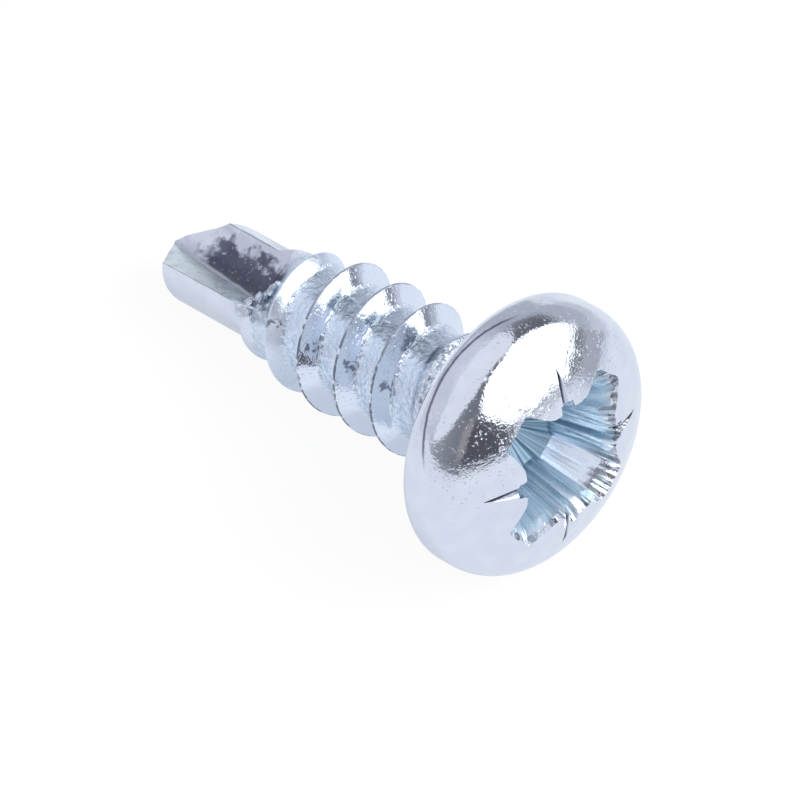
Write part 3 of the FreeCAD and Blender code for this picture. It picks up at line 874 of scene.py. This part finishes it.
def between(value, start, full, fade, gone):
    """Rises from start to full, and falls from fade to gone."""
    return step_up(value, start, full) * step_down(value, fade, gone)


def beside(value, middle, half, gone):
    """Full within half of the middle, and gone a little farther out."""
    return step_down(abs(value - middle), half, gone)


def blend(factor, first, second):
    return factor.shader.node("ShaderNodeMix", {"data_type": "RGBA"}, {0: factor, 6: first, 7: second},
                              output=2)


def tint(colour, mask, pigment):
    """Lays a pigment, a colour and its strength, over a colour where the mask shows."""
    shade, strength = pigment
    return blend(strength * mask, colour, shade)


def vector_maths(operation, first, *others, output="Vector"):
    return first.shader.node("ShaderNodeVectorMath", {"operation": operation}, (first, *others), output)


def split(vector):
    """The x, y and z of a vector."""
    return [vector.shader.node("ShaderNodeSeparateXYZ", {}, (vector,), output=part) for part in range(3)]


def turned_back(vector, degrees):
    """A vector as something that is turned about z sees it."""
    return vector.shader.node("ShaderNodeVectorRotate", {"rotation_type": "Z_AXIS"},
                              {"Vector": vector, "Angle": math.radians(-degrees)})


def new_material(name):
    material = bpy.data.materials.new(name)
    return material, Shader(material)


# Zinc plate
class Skin:
    """Where a point of the surface lies on the screw, for the patterns of its plating."""

    def __init__(self, shader):
        self.shader = shader
        home = screw_frame().inverted()
        axis = screw_frame().to_3x3() @ Vector((0, 0, 1))
        place = shader.node("ShaderNodeTexCoord", {}, {}, output="Object")
        normal = shader.node("ShaderNodeTexCoord", {}, {}, output="Normal")
        self.own = shader.node("ShaderNodeMapping", {"vector_type": "POINT"}, {
            "Vector": place, "Location": home.translation / MM, "Rotation": home.to_euler(),
            "Scale": (1 / MM, 1 / MM, 1 / MM)})
        self.facing = vector_maths("DOT_PRODUCT", normal, axis, output="Value")
        self.flat = vector_maths("MULTIPLY", self.own, (1, 1, 0))
        self.radius = vector_maths("LENGTH", self.flat, output="Value")
        self.x, self.y, self.along = split(self.own)
        self.round_to = self.y.maths("ARCTAN2", self.x) * math.degrees(1)
        self.kind = shader.node("ShaderNodeAttribute", {"attribute_name": "zone"}, {}, output="Fac")
        self.fine = self.grain(scale=15)
        self.score = self.grain(scale=17, detail=3, place=vector_maths("NORMALIZE", self.flat))
        self.crease = step_up(self.grain(scale=6, detail=5), *CREASE_EDGE)
        self.sunk = step_up(self.along, *SUNK_EDGE)

    def zone(self, kind):
        return self.kind.maths("COMPARE", kind, ZONE_REACH)

    def grain(self, scale, detail=2, place=None):
        return self.shader.node("ShaderNodeTexNoise", {},
                                {"Vector": place or self.own, "Scale": scale, "Detail": detail})

    def wander(self, by, scale, detail=2):
        """Pushes the edge of a pattern about, so that it ends raggedly."""
        return by * (self.grain(scale, detail) - 0.5)


def base_coat(skin):
    """Bright zinc, cloudy all over, bluer on the thread, and darkened by painted shade on the fillet below
    the head.
    """
    colour = blend(step_up(skin.grain(scale=1.7), *CLOUD_EDGE), ZINC_DULL, ZINC_BRIGHT)
    on_thread = between(skin.along, *THREAD_STRETCH) * step_down(skin.radius, *THREAD_RIM)
    colour = tint(colour, on_thread, THREAD_TINT)
    # Painted shade on the fillet under the head
    return tint(colour, between(skin.along, *FILLET_STRETCH), FILLET_SHADE_TINT)


def recess_shade_coat(skin, colour):
    """Painted shade in the recess: blue-green, scored down the walls, and darker towards the floor; painted
    light on the paler ends of the wings.
    """
    scored = step_up(skin.score, *SCORE_EDGE)
    shaded_walls = blend(scored, WALL_SHADE_TEAL, WALL_PALE)
    floor = blend(scored, SUNK_SHADE_TEAL, SUNK_SHADE_PALE)
    # Painted shade over the recess walls, darkest towards the floor
    colour = blend(skin.zone(RECESS), colour, blend(skin.sunk, shaded_walls, floor))
    # Painted light on the sloping ends of the wings
    return tint(colour, skin.zone(WING_END), WING_END_LIGHT_TINT)


def lip_coat(skin, colour):
    """Dark patches on the torn lip of the recess, and painted shade down the crease of each tick mark."""
    dark_patches = step_up(skin.grain(scale=3.3), *LIP_DARK_EDGE)
    colour = tint(colour, skin.zone(LIP) * dark_patches, LIP_DARK_TINT)
    tick_x, tick_y, height = split(turned_back(skin.own, TICK_TURN))
    off_crease = abs(tick_x).maths("MINIMUM", abs(tick_y))
    # Painted shade down the middle crease of each tick mark
    return tint(colour, skin.zone(TICK) * step_down(off_crease, *TICK_CREASE), TICK_CREASE_SHADE)


def flute_shade_coat(skin, colour):
    """Painted shade in the flute: a dull grey-green rake face, and a dark floor that pales towards the heel
    and the tip.
    """
    x, y, height = split(turned_back(skin.own, DRILL_TURN))
    rise = abs(y) - WEB_HALF
    to_heel = rise + skin.wander(by=1.6, scale=3, detail=6)
    to_tip = skin.along + skin.wander(by=1.8, scale=3.1, detail=4)
    shade = step_up(rise, *SHADE_FOOT) * step_down(to_heel, *SHADE_HEEL) * step_down(to_tip, *SHADE_TIP)
    speck = step_up(skin.grain(scale=9, detail=4), *SPECK_EDGE)
    floor = blend(shade * (1 - speck * SPECK_COVER), FLUTE_PALE, FLUTE_SHADE_DARK)
    rake = blend(step_up(skin.along, *RAKE_PALES), RAKE_SHADE, RAKE_PALE)
    # Painted shade over the flute's floor and rake face
    return blend(skin.zone(FLUTE), colour, blend(step_down(rise, *RAKE_EDGE), floor, rake))


def point_coat(skin, colour):
    """Painted dark reflection along the edges between the lands and the faces cut into them, and a mottled
    tip.
    """
    across = vector_maths("ABSOLUTE", turned_back(skin.flat, DRILL_TURN + LIP_TURN))
    from_centre = vector_maths("ADD", across, (0, LAND_CENTRE, 0))
    to_land = LAND_RADIUS - vector_maths("LENGTH", from_centre, output="Value")
    edge = step_down(to_land + skin.wander(by=0.06, scale=7, detail=3), *LAND_EDGE)
    edge = edge * (skin.zone(FLUTE) + skin.zone(TIP)) * step_up(skin.along, *LAND_EDGE_START)
    # Painted dark reflection along the lands' edges
    colour = tint(colour, edge, LAND_EDGE_REFLECTION_TINT)
    mottle = step_up(skin.grain(scale=3.4, detail=3), *MOTTLE_EDGE)
    return tint(colour, skin.zone(TIP) * mottle, MOTTLE_TINT)


def crest_seam(skin):
    """Thin broken seam along the thread's crest."""
    ragged = skin.radius + skin.wander(by=0.05, scale=8, detail=4)
    broken = step_up(skin.grain(scale=3.5, detail=5), *SEAM_BREAKS)
    return step_up(ragged, *SEAM_EDGE) * broken * between(skin.along, *SEAM_STRETCH)


def flank_folds_and_reflection(skin):
    """Folds in the thread's root and on its flanks towards the point, which also carry a painted blue
    reflection.
    """
    flank = between(skin.radius, *FLANK_REACH) * between(skin.along, *FLANK_STRETCH)
    root = step_down(skin.radius, *ROOT_RIM) * between(skin.along, *ROOT_STRETCH)
    return flank * step_up(skin.facing, *POINT_SIDE) + root


def first_turn_folds(skin):
    """The half-formed turn of thread beside the drill point."""
    return between(skin.radius, *FLANK_REACH) * between(skin.along, *FIRST_TURN_STRETCH)


def dents_and_shade(skin):
    """Dents at the neck and where the near flute runs out, where the rolling ends, and painted shade at the
    same places.
    """
    neck = between(skin.along, *NECK_STRETCH) * step_down(skin.radius, *NECK_RIM)
    burred = between(skin.along, *BURRED_STRETCH) * beside(skin.round_to, *BURRED_SIDE)
    return neck + burred


def dark_reflection_coat(skin, colour):
    """Painted dark reflections: slate patches in the thread's root, and dark flecks below them."""
    top = skin.radius + skin.wander(by=0.5, scale=4)
    turn = skin.round_to + skin.wander(by=24, scale=3.5, detail=3)
    root = step_up(skin.radius, *ROOT_REFLECTION_FOOT) * step_down(top, *ROOT_REFLECTION_TOP)
    root = root * between(skin.along, *ROOT_REFLECTION_STRETCH)
    flank = between(skin.radius, *FLECK_REACH) * between(skin.along, *FLECK_STRETCH)
    broken = step_up(skin.grain(scale=7, detail=4), *FLECK_EDGE)
    # Painted dark reflection in the thread's root, and flecks of it on the flanks
    colour = tint(colour, beside(turn, *ROOT_REFLECTION_SIDE) * root, ROOT_REFLECTION_TINT)
    return tint(colour, beside(turn, *FLECK_SIDE) * flank * broken, FLECK_REFLECTION_TINT)


def rim_reflection_coat(skin, colour):
    """Painted dark reflection line round the rim, on the side of the near flute."""
    turn = (skin.round_to - RIM_LINE_TURN) / RIM_LINE_SPREAD
    off = skin.along - RIM_LINE_HEIGHT + RIM_LINE_RISE * turn * turn + skin.wander(by=0.06, scale=6, detail=3)
    dark_line = step_up(skin.radius, *RIM_LINE_REACH) * step_down(abs(off), *RIM_LINE_WIDTH)
    # Painted dark reflection line on the rim
    return tint(colour, dark_line * beside(skin.round_to, *RIM_SIDE), RIM_REFLECTION_TINT)


def relief(skin, worn):
    """Height of the plating's grain, pits and folds, for the bump."""
    pits = step_up(skin.grain(scale=11, detail=3) + skin.wander(by=0.4, scale=2.5), *PIT_EDGE)
    open_face = 1 - skin.zone(RECESS) - skin.zone(WING_END)
    height = FINE_RELIEF * skin.fine + BROAD_RELIEF * skin.grain(scale=3) - PIT_RELIEF * pits * open_face
    height = height + FOLD_RELIEF * worn * skin.crease + LIP_RELIEF * skin.zone(LIP) * skin.crease
    return height + SCORE_RELIEF * skin.zone(RECESS) * skin.score


def haze(skin, crest, folds_and_reflection, first_turn, worn):
    """Roughness of the plating: polished on the head, and duller where tools have marked it."""
    rough = POLISH + FINE_HAZE * skin.fine + (RECESS_HAZE + SUNK_HAZE * skin.sunk) * skin.zone(RECESS)
    rough = rough + WING_END_HAZE * skin.zone(WING_END) + FLUTE_HAZE * skin.zone(FLUTE) + SEAM_HAZE * crest
    return rough + WORN_HAZE * worn + FOLD_HAZE * folds_and_reflection + FIRST_TURN_HAZE * first_turn


def zinc_plate():
    material, shader = new_material("bright_zinc_plate")
    skin = Skin(shader)
    crest = crest_seam(skin)
    folds_and_reflection = flank_folds_and_reflection(skin)
    first_turn = first_turn_folds(skin)
    dented_and_shaded = dents_and_shade(skin)
    worn = folds_and_reflection + dented_and_shaded
    colour = base_coat(skin)
    for coat in (recess_shade_coat, lip_coat, flute_shade_coat, point_coat):
        colour = coat(skin, colour)
    seam_cover = SEAM_COVER - SEAM_FADING * step_up(skin.round_to, *SEAM_FADE)
    colour = blend(crest * seam_cover, colour, SEAM_BLACK)
    # Painted blue reflection on the flanks that face the point, in the root and on the first turn
    colour = blend(FLANK_REFLECTION_COVER * folds_and_reflection + FIRST_TURN_COVER * first_turn, colour, FLANK_REFLECTION_BLUE)
    # Painted shade at the neck under the head and among the burrs
    colour = tint(colour, dented_and_shaded * (1 - skin.crease), DENT_SHADE_TINT)
    colour = rim_reflection_coat(skin, dark_reflection_coat(skin, colour))
    normal = shader.node("ShaderNodeBump", {}, {
        "Height": relief(skin, worn), "Strength": BUMP_STRENGTH, "Distance": BUMP_DISTANCE})
    surface = shader.node("ShaderNodeBsdfPrincipled", {}, {
        "Base Color": colour,
        "Metallic": 1 - FIRST_TURN_DULLING * first_turn * step_down(skin.round_to, *LOW_SIDE),
        "Roughness": haze(skin, crest, folds_and_reflection, first_turn, worn),
        "Normal": normal,
    })
    shader.finish("ShaderNodeOutputMaterial", surface)
    return material


# Stage
def make_floor():
    """A pale floor that keeps the shadow, white to the camera and darker at one side to the metal."""
    bm = bmesh.new()
    bmesh.ops.create_grid(bm, x_segments=1, y_segments=1, size=FLOOR_HALF)
    floor = new_piece("floor", bm)
    material, shader = new_material("pale_floor")
    to_camera = shader.node("ShaderNodeLightPath", {}, {}, output="Is Camera Ray")
    to_metal = shader.node("ShaderNodeLightPath", {}, {}, output="Is Glossy Ray")
    spot = shader.node("ShaderNodeTexCoord", {}, {}, output="Object")
    x, y, height = split(spot)
    turn = y.maths("ARCTAN2", x) * math.degrees(1)
    away = vector_maths("LENGTH", spot, output="Value")
    side = beside(turn, *SIDE_SECTOR) * step_up(away, *SIDE_START)
    corner = beside(turn, *CORNER_SECTOR) * step_up(away, *CORNER_START)
    in_metal = blend(corner, blend(side, FLOOR_IN_METAL, SIDE_GREY), CORNER_DARK)
    seen = blend(to_metal, WHITE, in_metal)
    glow = shader.node("ShaderNodeEmission", {}, {"Color": seen, "Strength": 1.0})
    matt = shader.node("ShaderNodeBsdfDiffuse", {}, {"Color": FLOOR_COLOUR})
    share = to_camera * GLOW_TO_CAMERA + to_metal * GLOW_TO_METAL
    mixed = shader.node("ShaderNodeMixShader", {}, {0: share, 1: matt, 2: glow})
    shader.finish("ShaderNodeOutputMaterial", mixed)
    floor.data.materials.append(material)


def window_shape(way, lift, low, round_to):
    """A round window, cut straight at its top and its sill, and slanting at one corner."""
    middle = Vector((math.cos(math.radians(WINDOW_LIFT)), 0, math.sin(math.radians(WINDOW_LIFT))))
    middle.rotate(Matrix.Rotation(math.radians(WINDOW_TURN), 3, "Z"))
    near = vector_maths("DOT_PRODUCT", way, middle, output="Value")
    window = step_down(near.maths("ARCCOSINE") * math.degrees(1), *WINDOW_EDGE) * step_down(lift, *WINDOW_TOP)
    slant = lift - WINDOW_CORNER_SLOPE * (round_to - WINDOW_CORNER_TURN)
    return window * step_up(lift - low, *WINDOW_SILL) * step_up(slant, *WINDOW_CORNER_EDGE)


def make_world():
    """A pale room with a bright window and a dark band round it, white to the camera."""
    world = bpy.data.worlds.new("studio")
    shader = Shader(world)
    bpy.context.scene.world = world
    way = shader.node("ShaderNodeTexCoord", {}, {}, output="Generated")
    x, y, z = split(turned_back(way, SURROUND_TURN))
    round_to = y.maths("ARCTAN2", x) * math.degrees(1)
    lift = z.maths("ARCSINE") * math.degrees(1)
    stops = [((turn + 180) / 360, (top / 90, (low + 90) / 180, tone, 1)) for turn, top, low, tone in SURROUND]
    edges = shader.node("ShaderNodeValToRGB", {"stops": stops}, [(round_to + 180) / 360])
    top, low, tone = [shader.node("ShaderNodeSeparateColor", {}, [edges], output=part) for part in range(3)]
    top = top * 90
    low = low * 180 - 90
    red, green, blue = SURROUND_CAST
    room = shader.node("ShaderNodeCombineColor", {}, [tone * red, tone * green, tone * blue])
    room = blend(step_up(round_to, *GREY_TURN) * step_down(lift, *GREY_LIFT), room, ROOM_GREY)
    room = blend(beside(round_to, *DEEP_TURN) * step_down(lift, *DEEP_LIFT), room, ROOM_DEEP)
    room = blend(beside(round_to, *BROWN_TURN) * beside(lift, *BROWN_LIFT), room, ROOM_BROWN)
    inside = step_down(lift - top, *SURROUND_EDGE) * step_up(lift - low, *SURROUND_EDGE)
    room = blend(inside, ROOM_PALE, room)
    room = blend(window_shape(way, lift, low, round_to), room, WINDOW_LIGHT)
    to_camera = shader.node("ShaderNodeLightPath", {}, {}, output="Is Camera Ray")
    seen = blend(to_camera, room, WHITE)
    background = shader.node("ShaderNodeBackground", {}, {"Color": seen, "Strength": 1.0})
    shader.finish("ShaderNodeOutputWorld", background)


def make_lamp():
    lamp = bpy.data.lights.new("key", "AREA")
    lamp.shape = "RECTANGLE"
    lamp.size = LAMP_WIDTH
    lamp.size_y = LAMP_DEPTH
    lamp.energy = LAMP_POWER
    key = bpy.data.objects.new("key", lamp)
    bpy.context.scene.collection.objects.link(key)
    place = Vector(LAMP_PLACE)
    key.matrix_world = Matrix.Translation(place) @ place.to_track_quat("Z", "Y").to_matrix().to_4x4()
    key.visible_glossy = False


def make_camera():
    camera = bpy.data.cameras.new("camera")
    camera.sensor_width = SENSOR_WIDTH
    camera.lens = FOCAL_PIXELS / PHOTO_WIDTH * camera.sensor_width
    camera.clip_start = CLIP_START
    camera.clip_end = CLIP_END
    eye = bpy.data.objects.new("camera", camera)
    bpy.context.scene.collection.objects.link(eye)
    look = Matrix.Rotation(math.radians(CAMERA_TURN), 4, "Z")
    look @= Matrix.Rotation(math.radians(90 - CAMERA_DIP), 4, "X")
    look @= Matrix.Rotation(math.radians(CAMERA_ROLL), 4, "Z")
    eye.matrix_world = Matrix.Translation(Vector(CAMERA_PLACE) * MM) @ look
    bpy.context.scene.camera = eye


# The whole screw
def build_screw():
    screw = turn_head()
    combine(screw, roll_shank(), "UNION")
    drill = forge_drill()
    drill.data.transform(Matrix.Rotation(math.radians(DRILL_TURN), 4, "Z"))
    combine(screw, drill, "UNION")
    flute = flute_cutter()
    for turn in (DRILL_TURN, DRILL_TURN + 180):
        combine(screw, turn_copy(flute, turn), "DIFFERENCE")
    bpy.data.objects.remove(flute)
    for number, (place, size) in enumerate(BURRS):
        combine(screw, burr(place, size, BURR_LEAN * number), "UNION")
    recess = recess_cutter()
    recess.data.transform(Matrix.Rotation(math.radians(RECESS_TURN), 4, "Z"))
    combine(screw, recess, "DIFFERENCE")
    tick = tick_cutter()
    for quarter in range(4):
        combine(screw, turn_copy(tick, TICK_TURN + 90 * quarter), "DIFFERENCE")
    bpy.data.objects.remove(tick)
    return screw


def finish_screw(screw):
    """Lays the screw where the frame has it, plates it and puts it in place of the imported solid."""
    screw.data.transform(Matrix.Scale(MM, 4))
    screw.data.transform(screw_frame())
    screw.name = "zinc_screw"
    screw.data.shade_smooth()
    screw.data.set_sharp_from_angle(angle=math.radians(SHARP_ANGLE))
    screw.data.materials.clear()
    screw.data.materials.append(zinc_plate())
    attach(screw, "root")
    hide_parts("screw")


finish_screw(build_screw())
make_floor()
make_world()
make_lamp()
make_camera()
bpy.context.scene.view_settings.view_transform = "Standard"
